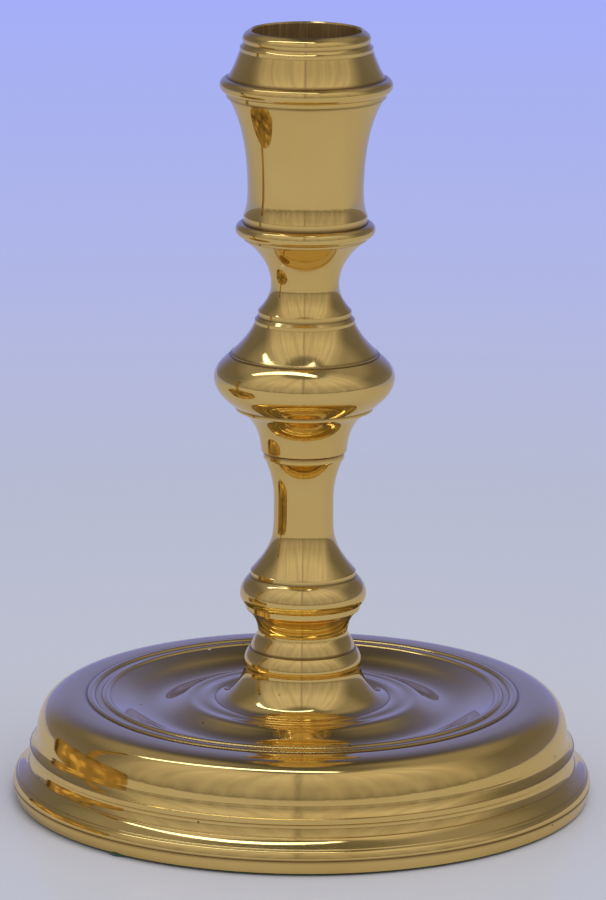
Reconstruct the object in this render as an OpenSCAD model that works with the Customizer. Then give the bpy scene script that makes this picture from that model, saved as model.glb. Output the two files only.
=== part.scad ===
// Turned brass table candlestick, held together by one rod through its stem.
// All sizes are in mm. The origin is the centre of the underside, and +Z is up.

/* [Candle socket] */
// Bore of the socket, which takes a 22 mm candle
candle_bore_d = 22.4; // [21:0.1:23.4]
// Depth of the candle bore
candle_bore_depth = 24; // [14:1:26]
// Depth of the drill point at the bottom of the candle bore
bore_cone_depth = 1.6; // [0.5:0.1:2.5]
// Height of the socket from its joint to its rim
socket_h = 42.7; // [39:0.1:48]
// Brass left round the bore at the crest of the rounded lip
lip_wall = 1.95; // [1.4:0.05:2.6]
// Height of the rounded lip
lip_h = 2.5; // [1.8:0.1:3]
// Brass left round the bore at the upper edge of the sloping shoulder
shoulder_wall = 2.45; // [2.1:0.05:3]
// Height of the upright edge above the sloping shoulder
shoulder_edge_h = 0.8; // [0.4:0.1:1.2]
// Distance from the rim down to the middle of the collar bead
collar_drop = 11.3; // [10:0.1:13]
// Largest diameter of the collar bead
collar_d = 35.5; // [34:0.1:38]
// Radius of the collar bead's round
collar_bead_r = 1.5; // [1.1:0.1:1.9]
// Height of the square fillet under the collar bead
collar_fillet_h = 0.9; // [0.5:0.1:1.4]
// Smallest diameter of the waist
waist_d = 23.9; // [23.4:0.1:25.5]
// Height of the waist above the socket's joint
waist_z = 9.1; // [8:0.1:10.5]
// Largest diameter of the bead at the foot of the socket
socket_foot_d = 28.8; // [27.6:0.1:31]
// Radius of that bead's round
socket_foot_bead_r = 1.4; // [1.1:0.1:1.8]
// Height of the upright fillet over that bead
socket_neck_h = 1.5; // [0.8:0.1:2]

/* [Knop] */
// Height of the neck and knop between their joints
knop_h = 36.2; // [34:0.1:40]
// Diameter of the fillet at the top of the neck
neck_top_d = 25.6; // [24.6:0.1:26.4]
// Smallest diameter of the neck
neck_d = 14; // [12.6:0.1:16]
// Height of the neck's smallest place above the knop's joint
neck_z = 26.2; // [25:0.1:27.5]
// Diameter of the upper fillet under the neck
neck_fillet_d = 19.3; // [18:0.1:20]
// Diameter of the lower fillet under the neck
neck_step_d = 20.7; // [20.2:0.1:22]
// Height of the lower fillet's top above the knop's joint
neck_step_z = 18.9; // [18:0.1:19.6]
// Diameter of the step above the knop
knop_step_d = 30.6; // [29:0.1:31.6]
// Height of that step above the knop's joint
knop_step_z = 11.8; // [11:0.1:12.6]
// Largest diameter of the knop
knop_d = 37.4; // [35:0.1:41]
// Height of the knop's widest place above its joint
knop_z = 6.7; // [6:0.1:7.6]
// Diameter of the fillet under the knop
knop_fillet_d = 28.6; // [28:0.1:29.4]
// Height of the fillet under the knop
knop_fillet_h = 0.8; // [0.5:0.1:1.2]

/* [Column] */
// Height of the column between its joints
column_h = 41.3; // [38:0.1:50]
// Diameter of the column at its upper joint
column_top_d = 27.6; // [26:0.1:28]
// Diameter of the upper edge of the astragal
astragal_d = 17.8; // [17:0.1:19]
// Distance from the upper joint down to the astragal
astragal_drop = 8.3; // [7.5:0.1:9.5]
// Diameter of the lower edge of the astragal
astragal_low_d = 16.8; // [16:0.1:17.4]
// Smallest diameter of the column
column_d = 12.4; // [11.6:0.1:14]
// Diameter of the fillet above the bulb
bulb_fillet_d = 21.9; // [21:0.1:22.6]
// Height of that fillet's top above the column's lower joint
bulb_fillet_z = 6.9; // [6.4:0.1:7.6]
// Largest diameter of the bulb
bulb_d = 26.3; // [25:0.1:28]
// Height of the bulb's widest place above the column's lower joint
bulb_z = 1.9; // [1.4:0.1:2.6]

/* [Spool] */
// Height of the spool between its joints
spool_h = 13.7; // [12.5:0.1:16]
// Diameter of the fillet at the top of the spool
spool_top_d = 23.8; // [23:0.1:24.4]
// Height of that fillet
spool_fillet_h = 1.2; // [0.8:0.1:1.6]
// Smallest diameter of the spool
spool_d = 18.8; // [17:0.1:20]
// Height of the spool's smallest place above its lower joint
spool_z = 7.5; // [7:0.1:8.4]
// Diameter at the step above the spool's ring
ring_step_d = 21.8; // [21:0.1:22.4]
// Height of that step above the spool's lower joint
ring_step_z = 3.9; // [3.4:0.1:4.4]
// Largest diameter of the spool's ring
ring_d = 24.6; // [24:0.1:26]

/* [Base] */
// Height of the base from its lower edge to the joint with the stem
base_h = 26.9; // [25.3:0.1:30.3]
// Diameter of the joint between base and stem
seat_d = 24.3; // [23.8:0.1:24.6]
// Largest diameter of the base, at its flange
base_d = 121; // [119:0.5:126]
// Height of the shoulder above the lower edge of the base
shoulder_z = 20.7; // [20.1:0.1:21.5]
// Diameter of the base's upright wall at its foot
wall_d = 111.4; // [110:0.1:113]
// Diameter of the square fillet under the wall
wall_fillet_d = 114; // [113:0.1:116]
// Height of that fillet's lower edge above the lower edge of the base
wall_fillet_z = 9.3; // [8.7:0.1:9.9]
// Height of the step between the cove and the flange
flange_step_z = 6.6; // [6.1:0.1:7.1]
// Height of the line turned round the flange
flange_line_z = 2.7; // [2.1:0.1:3.1]
// Diameter of the outer ridge round the drip dish
outer_ridge_d = 88.4; // [87:0.1:90]
// Diameter of the inner ridge round the drip dish
inner_ridge_d = 82.2; // [81:0.1:83]
// Half the width of each ridge
ridge_half_w = 0.85; // [0.6:0.05:1]
// Height of each ridge over its foot
ridge_rise = 0.42; // [0.2:0.02:0.6]
// Diameter of the lowest line of the drip dish
dish_d = 62; // [60:0.5:66]
// Height of the dish's lowest line above the lower edge of the base
dish_z = 17.8; // [17.3:0.1:18.3]
// Diameter of the groove round the foot of the stem
ripple_d = 36.6; // [36:0.1:37.4]
// Height of that groove above the lower edge of the base
ripple_z = 19.9; // [19.3:0.1:20.3]
// Thickness of the cast brass under the dish and in the wall
shell_wall = 3.2; // [2.4:0.1:4]

/* [Fastening] */
// Diameter of the threaded rod through the stem
rod_d = 6; // [5:0.5:6.5]
// Length of rod held in the thread under the candle bore
rod_grip = 11; // [8:0.5:12]
// Length of rod that stands out of the nut
rod_tail = 1.4; // [0.6:0.1:2]
// Diameter of the spigots that centre the pieces of the stem
spigot_d = 10; // [9.5:0.1:11]
// Length of those spigots
spigot_h = 2; // [1:0.1:2.6]
// Diameter of the flat boss under the base that takes the washer
boss_d = 23; // [22:0.5:26]
// Height of the boss face above the lower edge of the base
boss_z = 13.5; // [13.1:0.1:13.9]
// Diameter of the flat washer
washer_d = 20; // [18:0.5:22]
// Thickness of the flat washer
washer_t = 1.6; // [1:0.1:2]
// Diameter of the spring washer
spring_washer_d = 11.8; // [11.4:0.1:13]
// Thickness of the spring washer
spring_washer_t = 1.6; // [1.2:0.1:2]
// Width of the slit in the spring washer
spring_washer_slit = 1; // [0.6:0.1:1.6]
// Distance across the flats of the nut
nut_flats = 10; // [10:0.5:11]
// Height of the nut
nut_h = 5; // [4:0.1:5.4]

/* [Underside] */
// Thickness of the felt
felt_t = 0.5; // [0.4:0.1:1.2]
// Distance that the felt's edge stays inside the edge of the base
felt_inset = 0.6; // [0.3:0.1:1.5]
// Distance that the loose tab of felt stands out of the edge of the base
felt_tab_out = 0.5; // [0.2:0.1:1]
// Width of that tab
felt_tab_w = 7; // [4:0.5:9]
// Direction of the tab round the base, from +X towards +Y
felt_tab_angle = 231; // [0:1:359]
// Thickness of the card that closes the base
card_t = 1; // [0.6:0.1:1.4]
// Diameter of the rebate that holds the card
rebate_d = 113.4; // [112.4:0.1:115]

/* [Clearances] */
// Gap all round the rod in the holes that it passes through
rod_clear = 0.25; // [0.15:0.05:0.5]
// Gap between the rod's thread and the threads that hold it
thread_clear = 0.05; // [0.02:0.01:0.1]
// Gap all round each spigot
spigot_clear = 0.1; // [0.05:0.01:0.2]
// Gap between a spigot's end and the bottom of its recess
spigot_end_clear = 0.3; // [0.2:0.1:0.6]
// Gap between the card and the side of its rebate
card_clear = 0.2; // [0.1:0.05:0.5]

/* [Hidden] */
$fn = 96;

// Pieces into which each curved stretch of an outline is cut
curve_steps = 12;
// Play that lets a cutting body pass clear of the face that it opens
through = 1;
// Width and height of the eased edge at the mouth of the candle bore
mouth_ease_w = 0.4;
mouth_ease_h = 0.35;
// Radius of the flat at the tip of the drill point
drill_tip_r = 0.5;
// Length of the threaded hole past the end of the rod
thread_runout = 1;
// Distance that the lower edge of the base stays inside its flange
flange_tuck = 0.6;

bore_r = candle_bore_d / 2;
rod_r = rod_d / 2;
waist_r = waist_d / 2;
base_r = base_d / 2;
wall_r = wall_d / 2;

// Levels of the joints, from the table up
seat_z = felt_t + base_h;
spool_top_z = seat_z + spool_h;
column_top_z = spool_top_z + column_h;
knop_top_z = column_top_z + knop_h;

// Levels of the fastening under the base
washer_z = felt_t + boss_z - washer_t;
spring_washer_z = washer_z - spring_washer_t;
nut_z = spring_washer_z - nut_h;
rod_low_z = nut_z - rod_tail;
rod_h = knop_top_z + rod_grip - rod_low_z;

// Turned outlines.
// An outline is a list of stations, each [radius, height] or [radius, height, heading].
// A heading is the way the outline runs there, in degrees: 0 is outward and -90 is down.
// Two neighbours that both have headings are joined by a smooth curve, others by a straight line.
// A crease is the same place written twice, with the heading before it and the heading after it.
function ray(angle) = [cos(angle), sin(angle)];

function place(station) = [station[0], station[1]];

function curved(a, b) = len(a) > 2 && len(b) > 2;

// Handle length that makes the curve follow a circular arc
function handle(a, b) = norm(place(b) - place(a)) / (3 * pow(cos((b[2] - a[2]) / 4), 2));

function curve_point(a, b, t) =
    let (p = place(a) + handle(a, b) * ray(a[2]))
    let (q = place(b) - handle(a, b) * ray(b[2]))
    pow(1 - t, 3) * place(a) + 3 * t * pow(1 - t, 2) * p + 3 * t * t * (1 - t) * q + pow(t, 3) * place(b);

function stretch(a, b) =
    norm(place(b) - place(a)) < 0.001 ? [] :
    curved(a, b) ? [for (i = [0 : curve_steps - 1]) curve_point(a, b, i / curve_steps)] :
    [place(a)];

function trace(stations) =
    let (last = len(stations) - 1)
    concat([for (i = [0 : last - 1]) each stretch(stations[i], stations[i + 1])], [place(stations[last])]);

// Half-round bead whose round is centred at a radius and a height
function bead(centre_r, centre_z, round_r) = [
    [centre_r, centre_z + round_r, 0],
    [centre_r + round_r, centre_z, -90],
    [centre_r, centre_z - round_r, -180]
];

// Low ridge on a face that points up, between two creases
function ridge(middle_r, foot_z) =
    let (lean = 2 * atan(ridge_rise / ridge_half_w))
    [
        [middle_r - ridge_half_w, foot_z, lean],
        [middle_r, foot_z + ridge_rise, 0],
        [middle_r + ridge_half_w, foot_z, -lean]
    ];

// Square fillet, an upright band between two heights
function fillet(r, top_z, low_z) = [[r, top_z], [r, low_z]];

module turned(stations) {
    rotate_extrude() polygon(trace(stations));
}

// A turned piece of the stem, standing on its joint, solid to the axis
module stem_piece(stations, h) {
    turned(concat([[0, h]], stations, [[0, 0]]));
}

// Spigot on top of a piece, standing at a height
module spigot(z) {
    translate([0, 0, z]) cylinder(d = spigot_d, h = spigot_h);
}

// Recess in the foot of a piece that takes the spigot of the piece below
module spigot_recess() {
    translate([0, 0, -through])
        cylinder(d = spigot_d + 2 * spigot_clear, h = spigot_h + spigot_end_clear + through);
}

// Hole that the rod passes through
module rod_hole(h) {
    translate([0, 0, -through]) cylinder(r = rod_r + rod_clear, h = h + 2 * through);
}

// Candle socket
lip_r = bore_r + lip_wall;
lip_foot_r = lip_r - 0.2;
lip_top_r = bore_r + mouth_ease_w;
lip_foot_z = socket_h - lip_h;
shoulder_top_r = bore_r + shoulder_wall;
shoulder_top_z = lip_foot_z - 0.9;
shoulder_low_z = shoulder_top_z - shoulder_edge_h;
collar_z = socket_h - collar_drop;
collar_root_r = collar_d / 2 - collar_bead_r;
collar_low_z = collar_z - collar_bead_r;
collar_fillet_r = collar_root_r + 0.2;
waist_start_z = collar_low_z - collar_fillet_h;
waist_mid_z = waist_z + (waist_start_z - waist_z) * 0.44;
socket_root_r = socket_foot_d / 2 - socket_foot_bead_r;
socket_bead_z = socket_foot_bead_r + 0.1;
socket_neck_r = socket_root_r - 0.25;
socket_neck_low_z = socket_bead_z + socket_foot_bead_r;
socket_neck_top_z = socket_neck_low_z + socket_neck_h;

socket_outline = concat(
    [[lip_top_r, socket_h, -28], [lip_r, socket_h - 0.7 * lip_h, -90], [lip_foot_r, lip_foot_z, -110]],
    [[lip_foot_r, lip_foot_z, -70], [shoulder_top_r, shoulder_top_z, -35]],
    fillet(shoulder_top_r, shoulder_top_z, shoulder_low_z),
    [[shoulder_top_r, shoulder_low_z, -68], [collar_root_r, collar_z + collar_bead_r, -54]],
    bead(collar_root_r, collar_z, collar_bead_r),
    fillet(collar_fillet_r, collar_low_z, waist_start_z),
    [[collar_root_r - 0.1, waist_start_z], [collar_root_r - 0.1, waist_start_z, -122]],
    [[waist_r + 0.55, waist_mid_z, -98], [waist_r, waist_z, -90]],
    [[socket_neck_r, socket_neck_top_z, -66]],
    fillet(socket_neck_r, socket_neck_top_z, socket_neck_low_z),
    bead(socket_root_r, socket_bead_z, socket_foot_bead_r),
    [[socket_root_r, 0]]
);

module candle_socket() {
    bore_floor_z = socket_h - candle_bore_depth;
    color("goldenrod")
    translate([0, 0, knop_top_z])
    difference() {
        stem_piece(socket_outline, socket_h);
        // Candle bore, with its drill point and its eased mouth
        translate([0, 0, bore_floor_z]) cylinder(r = bore_r, h = candle_bore_depth + through);
        translate([0, 0, bore_floor_z - bore_cone_depth])
            cylinder(r1 = drill_tip_r, r2 = bore_r, h = bore_cone_depth);
        translate([0, 0, socket_h - mouth_ease_h])
            cylinder(r1 = bore_r, r2 = lip_top_r, h = mouth_ease_h);
        // Threaded hole for the rod
        cylinder(r = rod_r + thread_clear, h = rod_grip + thread_runout);
        spigot_recess();
    }
}

// Neck and knop
neck_top_r = neck_top_d / 2;
neck_r = neck_d / 2;
neck_fillet_r = neck_fillet_d / 2;
neck_step_r = neck_step_d / 2;
knop_step_r = knop_step_d / 2;
knop_r = knop_d / 2;
knop_fillet_r = knop_fillet_d / 2;

knop_outline = concat(
    fillet(neck_top_r, knop_h, knop_h - 0.5),
    [[neck_top_r - 0.1, knop_h - 0.5], [neck_top_r - 0.1, knop_h - 0.5, -143]],
    [[neck_r, neck_z, -90], [neck_fillet_r - 0.1, neck_step_z + 1.9, -47]],
    fillet(neck_fillet_r, neck_step_z + 1.8, neck_step_z + 0.7),
    fillet(neck_step_r, neck_step_z, neck_step_z - 0.7),
    [[neck_step_r, neck_step_z - 0.7, -68], [knop_step_r - 0.1, knop_step_z, -43]],
    fillet(knop_step_r, knop_step_z, knop_step_z - 0.4),
    [[knop_step_r + 0.3, knop_step_z - 0.45], [knop_step_r + 0.3, knop_step_z - 0.45, -38]],
    [[knop_r, knop_z, -90], [knop_fillet_r + 0.35, knop_fillet_h, -143]],
    fillet(knop_fillet_r, knop_fillet_h, 0)
);

module neck_and_knop() {
    color("goldenrod")
    translate([0, 0, column_top_z])
    difference() {
        union() {
            stem_piece(knop_outline, knop_h);
            spigot(knop_h);
        }
        rod_hole(knop_h + spigot_h);
        spigot_recess();
    }
}

// Column
column_top_r = column_top_d / 2;
astragal_r = astragal_d / 2;
astragal_low_r = astragal_low_d / 2;
astragal_z = column_h - astragal_drop;
column_r = column_d / 2;
column_z = bulb_fillet_z + 15.4;
bulb_fillet_r = bulb_fillet_d / 2;
bulb_r = bulb_d / 2;

column_outline = concat(
    [[column_top_r, column_h], [column_top_r, column_h, -152], [astragal_r + 0.8, column_h - 4.7, -111]],
    [[astragal_r, astragal_z, -98]],
    fillet(astragal_r, astragal_z, astragal_z - 0.5),
    fillet(astragal_low_r, astragal_z - 0.8, astragal_z - 2),
    [[astragal_low_r - 0.2, astragal_z - 2.2], [astragal_low_r - 0.2, astragal_z - 2.2, -116]],
    [[column_r, column_z, -90], [column_r + 0.12, bulb_fillet_z + 8.6, -86]],
    [[bulb_fillet_r - 0.1, bulb_fillet_z + 0.1, -48]],
    fillet(bulb_fillet_r, bulb_fillet_z, bulb_fillet_z - 1),
    [[bulb_fillet_r + 0.5, bulb_fillet_z - 1.4], [bulb_fillet_r + 0.5, bulb_fillet_z - 1.4, -42]],
    [[bulb_r, bulb_z, -90], [bulb_r - 0.8, 0, -126]]
);

module column() {
    color("goldenrod")
    translate([0, 0, spool_top_z])
    difference() {
        union() {
            stem_piece(column_outline, column_h);
            spigot(column_h);
        }
        rod_hole(column_h + spigot_h);
        spigot_recess();
    }
}

// Spool
spool_top_r = spool_top_d / 2;
spool_r = spool_d / 2;
ring_step_r = ring_step_d / 2;
ring_r = ring_d / 2;

spool_outline = concat(
    fillet(spool_top_r, spool_h, spool_h - spool_fillet_h),
    [[spool_top_r - 0.5, spool_h - spool_fillet_h - 0.4, -140]],
    [[spool_r, spool_z, -90], [spool_r + 0.65, spool_z - 1.3, -62], [ring_step_r, ring_step_z + 0.1, -76]],
    [[ring_step_r + 0.3, ring_step_z], [ring_step_r + 0.3, ring_step_z, -52]],
    [[ring_r, 1, -90], [ring_r - 0.12, 0, -98]]
);

module spool() {
    color("goldenrod")
    translate([0, 0, seat_z])
    difference() {
        union() {
            stem_piece(spool_outline, spool_h);
            spigot(spool_h);
        }
        rod_hole(spool_h + spigot_h);
        spigot_recess();
    }
}

// Base
seat_r = seat_d / 2;
ripple_r = ripple_d / 2;
dish_r = dish_d / 2;
inner_ridge_r = inner_ridge_d / 2;
outer_ridge_r = outer_ridge_d / 2;
ridge_foot_z = shoulder_z + 0.02;
wall_fillet_r = wall_fillet_d / 2;
flange_foot_r = base_r - flange_tuck;

// Foot of the stem, spreading into two low ripples
foot_outline = [
    [seat_r, base_h],
    [seat_r, base_h, -87],
    [ripple_r - 3, ripple_z + 1.4, -43],
    [ripple_r, ripple_z, -12],
    [ripple_r, ripple_z, 28],
    [ripple_r + 1.5, ripple_z + 0.35, 0],
    [ripple_r + 3.6, ripple_z + 0.02, 0],
    [ripple_r + 5.2, ripple_z + 0.2, 0]
];

// Drip dish, from its inner slope to the ridges round it
dish_outline = concat(
    [[dish_r - 5.3, (ripple_z + dish_z) / 2 + 0.5, -24], [dish_r, dish_z, 0]],
    [[dish_r + 5.4, dish_z + 1.45, 25], [inner_ridge_r - ridge_half_w, ridge_foot_z, 18]],
    ridge(inner_ridge_r, ridge_foot_z),
    [[inner_ridge_r + ridge_half_w, ridge_foot_z, -10]],
    [[outer_ridge_r - ridge_half_w, ridge_foot_z, 10]],
    ridge(outer_ridge_r, ridge_foot_z)
);

// Shoulder and upright wall
wall_outline = concat(
    [[outer_ridge_r + ridge_half_w, ridge_foot_z, 4], [wall_r - 8.6, shoulder_z + 0.08, -1]],
    [[wall_r - 5.3, shoulder_z - 0.2, -13], [wall_r - 2.75, shoulder_z - 1.45, -39]],
    [[wall_r - 1, shoulder_z - 3.9, -66], [wall_r - 0.1, wall_fillet_z + 3.6, -84]],
    [[wall_r + 0.05, wall_fillet_z + 2.9, -80], [wall_fillet_r - 0.25, wall_fillet_z + 1.15, -52]],
    fillet(wall_fillet_r, wall_fillet_z + 1.05, wall_fillet_z)
);

// Cove and flange, down to the lower edge
flange_outline = concat(
    [[wall_fillet_r - 0.5, wall_fillet_z - 0.15], [wall_fillet_r - 0.6, wall_fillet_z - 0.25, -95]],
    [[wall_fillet_r + 0.1, flange_step_z + 0.05, -60]],
    [[wall_fillet_r + 0.3, flange_step_z - 0.05], [wall_fillet_r + 0.3, flange_step_z - 0.05, -50]],
    [[base_r - 1.1, flange_line_z + 2.15, -36]],
    [[base_r - 0.95, flange_line_z + 1.95], [base_r - 0.95, flange_line_z + 1.95, -22]],
    [[base_r - 0.05, flange_line_z + 0.1, -86]],
    [[base_r - 0.15, flange_line_z], [base_r - 0.05, flange_line_z - 0.1]],
    [[base_r - 0.05, flange_line_z - 0.1, -89], [flange_foot_r, 0, -104]]
);

base_outline = concat(foot_outline, dish_outline, wall_outline, flange_outline);

// Hollow under the base
hollow_r = wall_r - shell_wall;
ceiling_z = dish_z - shell_wall;
high_ceiling_z = shoulder_z - shell_wall - 0.2;

hollow_outline = [
    [0, -through],
    [0, boss_z],
    [boss_d / 2, boss_z],
    [boss_d / 2 + 1, ceiling_z],
    [dish_r + 3, ceiling_z],
    [dish_r + 8, high_ceiling_z],
    [hollow_r - 4, high_ceiling_z],
    [hollow_r, high_ceiling_z - 3],
    [hollow_r, -through]
];

module base_casting() {
    color("goldenrod")
    translate([0, 0, felt_t])
    difference() {
        union() {
            stem_piece(base_outline, base_h);
            spigot(base_h);
        }
        rotate_extrude() polygon(hollow_outline);
        rod_hole(base_h + spigot_h);
        // Rebate for the card
        translate([0, 0, -through]) cylinder(d = rebate_d, h = card_t + through);
    }
}

module tie_rod() {
    chamfer = 0.6;
    color("silver")
    translate([0, 0, rod_low_z])
    rotate_extrude()
        polygon([
            [0, 0], [rod_r - chamfer, 0], [rod_r, chamfer],
            [rod_r, rod_h - chamfer], [rod_r - chamfer, rod_h], [0, rod_h]
        ]);
}

module flat_washer() {
    color("silver")
    translate([0, 0, washer_z])
    difference() {
        cylinder(d = washer_d, h = washer_t);
        rod_hole(washer_t);
    }
}

module spring_washer() {
    color("silver")
    translate([0, 0, spring_washer_z])
    difference() {
        cylinder(d = spring_washer_d, h = spring_washer_t);
        rod_hole(spring_washer_t);
        translate([0, -spring_washer_slit / 2, -through])
            cube([spring_washer_d, spring_washer_slit, spring_washer_t + 2 * through]);
    }
}

module clamp_nut() {
    corner_r = nut_flats / 2 / cos(30);
    color("silver")
    translate([0, 0, nut_z])
    difference() {
        intersection() {
            cylinder(r = corner_r, h = nut_h, $fn = 6);
            cylinder(r1 = nut_flats / 2, r2 = nut_flats / 2 + nut_h * 2, h = nut_h);
        }
        translate([0, 0, -through]) cylinder(r = rod_r + thread_clear, h = nut_h + 2 * through);
    }
}

module backing_card() {
    color("tan")
    translate([0, 0, felt_t])
        cylinder(d = rebate_d - 2 * card_clear, h = card_t);
}

module felt_pad() {
    tab_r = flange_foot_r + felt_tab_out - felt_tab_w / 2;
    color("darkgreen")
    linear_extrude(felt_t)
    union() {
        circle(r = flange_foot_r - felt_inset);
        rotate(felt_tab_angle) translate([tab_r, 0]) circle(d = felt_tab_w);
    }
}

candle_socket();
neck_and_knop();
column();
spool();
base_casting();
tie_rod();
flat_washer();
spring_washer();
clamp_nut();
backing_card();
felt_pad();
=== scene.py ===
import math
import random

import bpy
import numpy as np
from mathutils import Matrix, Vector


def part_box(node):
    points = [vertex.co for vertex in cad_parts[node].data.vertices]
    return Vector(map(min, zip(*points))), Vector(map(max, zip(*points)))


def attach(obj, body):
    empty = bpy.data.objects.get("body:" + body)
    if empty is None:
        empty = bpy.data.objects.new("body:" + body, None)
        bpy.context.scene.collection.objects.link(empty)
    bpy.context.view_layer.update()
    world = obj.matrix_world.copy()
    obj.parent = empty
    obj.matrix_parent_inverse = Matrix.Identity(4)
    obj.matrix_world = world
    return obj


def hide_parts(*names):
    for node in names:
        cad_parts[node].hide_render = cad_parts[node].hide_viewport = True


# Polished brass candlestick for one taper candle. Outlines are in millimetres, and meshes in metres.
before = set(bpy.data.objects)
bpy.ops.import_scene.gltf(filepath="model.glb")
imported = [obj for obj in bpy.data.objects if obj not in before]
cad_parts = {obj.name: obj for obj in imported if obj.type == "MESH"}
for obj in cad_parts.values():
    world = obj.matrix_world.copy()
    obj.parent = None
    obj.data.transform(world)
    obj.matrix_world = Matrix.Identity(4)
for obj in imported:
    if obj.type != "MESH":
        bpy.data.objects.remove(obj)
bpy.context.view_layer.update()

MM = 0.001


# Camera, as the photograph was taken
def take_camera():
    place = Vector((-0.0002, -1.1244, 0.3352))
    tilt = math.radians(13.1034)
    roll = math.radians(0.38)
    focal_px = 5575.3
    image_h_px = 900
    sensor_h = 36.0

    ahead = Vector((0, math.cos(tilt), -math.sin(tilt)))
    level_right = Vector((1, 0, 0))
    level_up = level_right.cross(ahead)
    right = level_right * math.cos(roll) + level_up * math.sin(roll)
    up = level_up * math.cos(roll) - level_right * math.sin(roll)

    lens = bpy.data.cameras.new("camera")
    lens.sensor_fit = "VERTICAL"
    lens.sensor_height = sensor_h
    lens.lens = focal_px / image_h_px * sensor_h
    camera = bpy.data.objects.new("camera", lens)
    turn = Matrix((right, up, -ahead)).transposed().to_4x4()
    camera.matrix_world = Matrix.Translation(place) @ turn
    bpy.context.scene.collection.objects.link(camera)
    bpy.context.scene.camera = camera
    bpy.context.scene.view_settings.view_transform = "Standard"


# Turned outlines.
# An outline is a list of stations, each (radius, height) or (radius, height, heading in degrees).
# Two neighbours that both have headings are joined by a smooth curve, others by a straight line.
TURN_STEP = 6.0
LONGEST_STEP = 1.2
SMOOTH_TURN = 3.0
EASE = 0.11
EASE_STEPS = 4
GROOVE_REACH = 0.45
GROOVE_FULL_TURN = 60.0
AROUND_STEM = 224
AROUND_BASE = 320


def unit(vectors):
    return vectors / np.linalg.norm(vectors, axis=-1, keepdims=True)


def ray(angle):
    return np.array([math.cos(math.radians(angle)), math.sin(math.radians(angle))])


def bead(centre_r, centre_z, round_r):
    return [
        (centre_r, centre_z + round_r, 0),
        (centre_r + round_r, centre_z, -90),
        (centre_r, centre_z - round_r, -180),
    ]


def fillet(r, top_z, low_z):
    return [(r, top_z), (r, low_z)]


def curved_stretch(a, b):
    """Points and directions along the smooth curve between two stations."""
    start, end = np.array(a[:2], float), np.array(b[:2], float)
    chord = np.linalg.norm(end - start)
    turn = abs(b[2] - a[2])
    handle = chord / (3 * math.cos(math.radians(turn / 4)) ** 2)
    p = start + handle * ray(a[2])
    q = end - handle * ray(b[2])
    steps = max(2, math.ceil(turn / TURN_STEP), math.ceil(chord / LONGEST_STEP))
    t = np.linspace(0, 1, steps + 1)[:, None]
    points = (1 - t) ** 3 * start + 3 * t * (1 - t) ** 2 * p + 3 * t * t * (1 - t) * q + t**3 * end
    ways = (1 - t) ** 2 * (p - start) + 2 * t * (1 - t) * (q - p) + t * t * (end - q)
    return points, unit(ways)


def straight_stretch(a, b):
    points = np.array([a[:2], b[:2]], float)
    way = unit(points[1] - points[0])
    return points, np.array([way, way])


def turn_between(before, after):
    """Angle from one direction to the next in degrees, positive into a groove."""
    cross = before[0] * after[1] - before[1] * after[0]
    return math.degrees(math.atan2(cross, float(before @ after)))


def smooth_runs(stations):
    """The outline cut at its creases."""
    runs = []
    for a, b in zip(stations, stations[1:]):
        if math.dist(a[:2], b[:2]) < 0.001:
            continue
        both_headed = len(a) > 2 and len(b) > 2
        points, ways = curved_stretch(a, b) if both_headed else straight_stretch(a, b)
        if runs and abs(turn_between(runs[-1][1][-1], ways[0])) < SMOOTH_TURN:
            runs[-1] = (np.vstack([runs[-1][0], points[1:]]), np.vstack([runs[-1][1], ways[1:]]))
        else:
            runs.append((points, ways))
    return runs


def trimmed(run, from_start, from_end):
    """A run shortened at its ends by two distances along it."""
    points, ways = run
    along = np.concatenate([[0], np.cumsum(np.linalg.norm(np.diff(points, axis=0), axis=1))])
    low, high = from_start, along[-1] - from_end
    inner = along[(along > low + 1e-6) & (along < high - 1e-6)]
    marks = np.concatenate([[low], inner, [high]])

    def at_marks(part):
        return np.stack([np.interp(marks, along, part[:, k]) for k in (0, 1)], axis=1)

    return at_marks(points), unit(at_marks(ways))


def eased_profile(stations):
    """Points, outward normals and groove depth along an outline, its creases eased by small rounds."""
    runs = smooth_runs(stations)
    lengths = [np.linalg.norm(np.diff(points, axis=0), axis=1).sum() for points, _ in runs]
    eases = [min(EASE, 0.3 * lengths[i], 0.3 * lengths[i + 1]) for i in range(len(runs) - 1)]
    points, ways, grooves = [], [], []
    for i, run in enumerate(runs):
        ease_in = eases[i - 1] if i > 0 else 0
        ease_out = eases[i] if i < len(eases) else 0
        run_points, run_ways = trimmed(run, ease_in, ease_out)
        points.extend(run_points)
        ways.extend(run_ways)
        if i == len(eases):
            break
        crease = run[0][-1]
        after = trimmed(runs[i + 1], ease_out, 0)[0][0]
        turn = turn_between(run[1][-1], runs[i + 1][1][0])
        if turn > 0:
            grooves.append((len(points), min(1, turn / GROOVE_FULL_TURN)))
        for step in range(1, EASE_STEPS):
            t = step / EASE_STEPS
            points.append((1 - t) ** 2 * run_points[-1] + 2 * t * (1 - t) * crease + t * t * after)
            ways.append(unit((1 - t) * (crease - run_points[-1]) + t * (after - crease)))
    points, ways = np.array(points), np.array(ways)
    normals = np.stack([-ways[:, 1], ways[:, 0]], axis=1)
    along = np.concatenate([[0], np.cumsum(np.linalg.norm(np.diff(points, axis=0), axis=1))])
    depth = np.zeros(len(points))
    for index, strength in grooves:
        depth = np.maximum(depth, strength * np.exp(-np.abs(along - along[index]) / GROOVE_REACH))
    return points, normals, depth


def shown(name, mesh):
    piece = bpy.data.objects.new(name, mesh)
    bpy.context.scene.collection.objects.link(piece)
    return piece


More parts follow.
